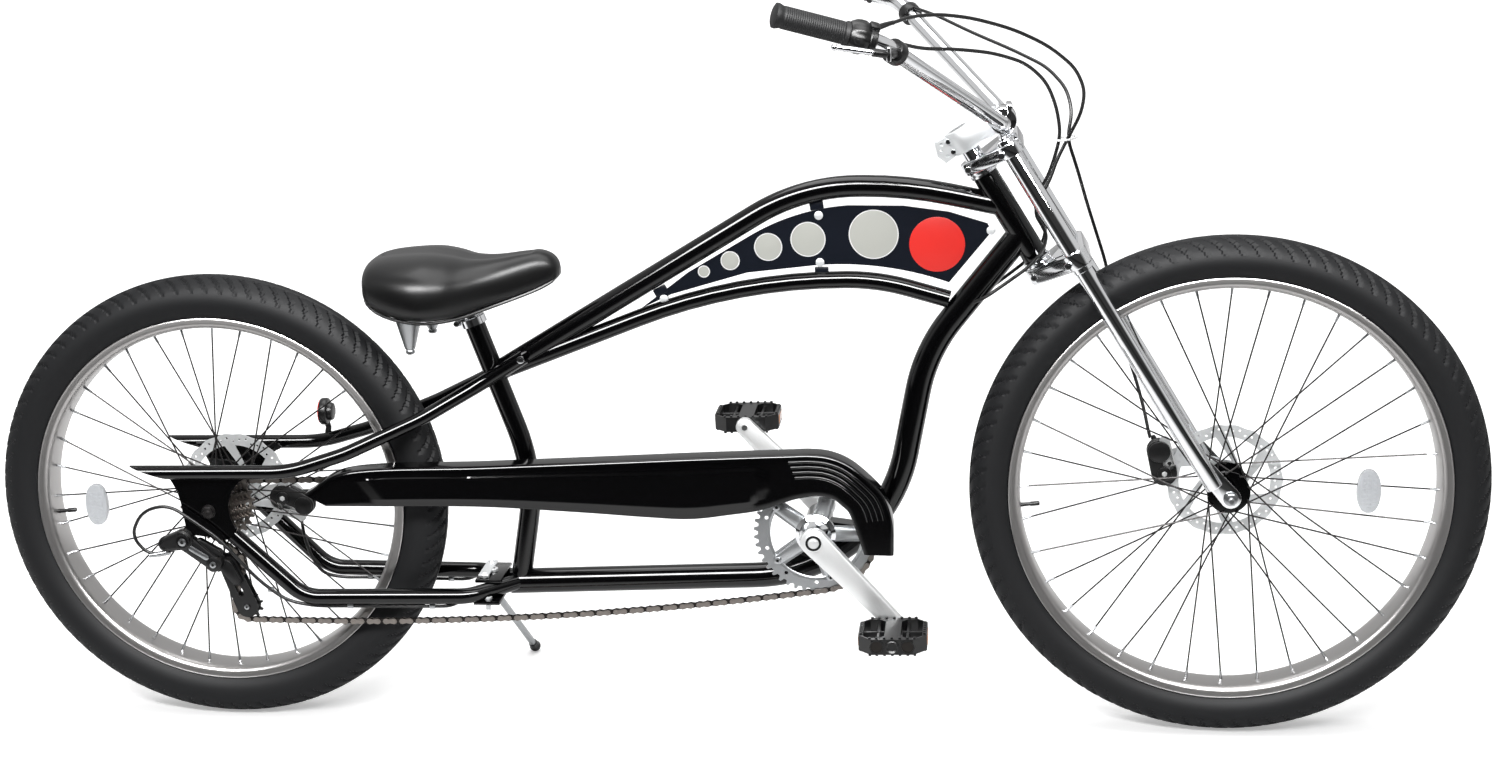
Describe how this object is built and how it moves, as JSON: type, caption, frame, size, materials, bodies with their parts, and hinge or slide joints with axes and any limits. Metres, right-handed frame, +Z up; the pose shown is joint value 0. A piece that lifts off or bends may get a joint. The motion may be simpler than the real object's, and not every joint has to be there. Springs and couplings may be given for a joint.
{
  "type": "chopper bicycle",
  "caption": "Long low cruiser bicycle with a curved tube frame, raked twin clamp fork, wide swept handlebar, broad sprung saddle, chain guard and side stand, parked leaning on its stand.",
  "frame": {"origin": "on the ground below the middle of the overall bounding box", "axes": "+X forward along the wheelbase, +Y to the rider's left, +Z up; the machine leans 5 degrees to its left on its side stand"},
  "size_m": [2.2287, 0.7672, 1.1375],
  "materials": {
    "black_plastic": "black moulded plastic",
    "chain_steel": "brownish oiled steel",
    "chrome": "polished chrome",
    "crank_alloy": "polished aluminium",
    "disc_trim": "pale grey printed trim discs",
    "frame_paint": "gloss black paint",
    "grip_rubber": "black rubber",
    "panel_paint": "satin dark paint",
    "red_trim": "plain red trim disc",
    "rim_silver": "polished aluminium rims",
    "saddle_cover": "black grained cover",
    "steel": "plated steel",
    "steel_dark": "darkened steel",
    "tyre": "charcoal rubber"
  },
  "bodies": {
    "frame": {"head_tube": "frame_paint", "headset": "chrome", "main_tube": "frame_paint", "seat_tube": "frame_paint", "upper_tube": "frame_paint", "arch_tube": "frame_paint", "bottom_bracket": "frame_paint", "stay_right": "frame_paint", "stay_left": "frame_paint", "dropout_right": "frame_paint", "dropout_left": "frame_paint", "lower_stay_right": "frame_paint", "lower_stay_left": "frame_paint", "panel": "panel_paint", "panel_discs": "disc_trim", "panel_roundel": "red_trim", "chain_guard": "frame_paint", "seat_post": "chrome", "saddle": "saddle_cover", "saddle_springs": "chrome", "rear_axle": "steel", "chain": "chain_steel", "derailleur": "black_plastic", "stand_bracket": "steel_dark", "brake_caliper_rear": "steel", "frame_cables": "black_plastic", "tail_reflector": "red_trim"},
    "steering": {"steerer": "chrome", "fork_clamps": "chrome", "fork_legs": "chrome", "front_axle": "steel", "handlebar": "chrome", "stem": "chrome", "grips": "grip_rubber", "twist_shifter": "black_plastic", "brake_caliper_front": "steel", "brake_levers": "steel", "fork_cables": "black_plastic"},
    "front_wheel": {"front_tyre": "tyre", "front_rim": "rim_silver", "front_spokes": "steel_dark", "front_hub": "frame_paint", "front_rotor": "steel", "wheel_reflector_front": "disc_trim"},
    "rear_wheel": {"rear_tyre": "tyre", "rear_rim": "rim_silver", "rear_spokes": "steel_dark", "rear_hub": "frame_paint", "rear_rotor": "steel", "freewheel": "chain_steel", "wheel_reflector_rear": "disc_trim"},
    "crankset": {"cranks": "crank_alloy", "chainring": "crank_alloy"},
    "right_pedal": {"pedal_right": "black_plastic"},
    "left_pedal": {"pedal_left": "black_plastic"},
    "side_stand": {"kickstand": "steel_dark"}
  },
  "joints": [
    {"name": "steering_turn", "type": "hinge", "parent": "frame", "child": "steering", "pos_m": [0.42486, -0.02674, 0.77418], "axis": [-0.515, 0.0747, 0.8539], "range_deg": [-45, 45]},
    {"name": "front_wheel_spin", "type": "hinge", "parent": "steering", "child": "front_wheel", "pos_m": [0.7405, -0.06187, 0.37272], "axis": [0, 0.9962, -0.0872], "continuous": true},
    {"name": "rear_wheel_spin", "type": "hinge", "parent": "frame", "child": "rear_wheel", "pos_m": [-0.7675, -0.06422, 0.34582], "axis": [0, 0.9962, -0.0872], "continuous": true},
    {"name": "crank_spin", "type": "hinge", "parent": "frame", "child": "crankset", "pos_m": [0.1425, -0.06709, 0.31295], "axis": [0, 0.9962, -0.0872], "continuous": true},
    {"name": "right_pedal_spin", "type": "hinge", "parent": "crankset", "child": "right_pedal", "pos_m": [0.25952, -0.16053, 0.19734], "axis": [0, 0.9962, -0.0872], "continuous": true},
    {"name": "left_pedal_spin", "type": "hinge", "parent": "crankset", "child": "left_pedal", "pos_m": [0.02548, 0.02634, 0.42856], "axis": [0, 0.9962, -0.0872], "continuous": true},
    {"name": "side_stand_fold", "type": "hinge", "parent": "frame", "child": "side_stand", "pos_m": [-0.3655, -0.03277, 0.17744], "axis": [0.0403, 0.7328, 0.6792], "range_deg": [0, 92.9]}
  ]
}
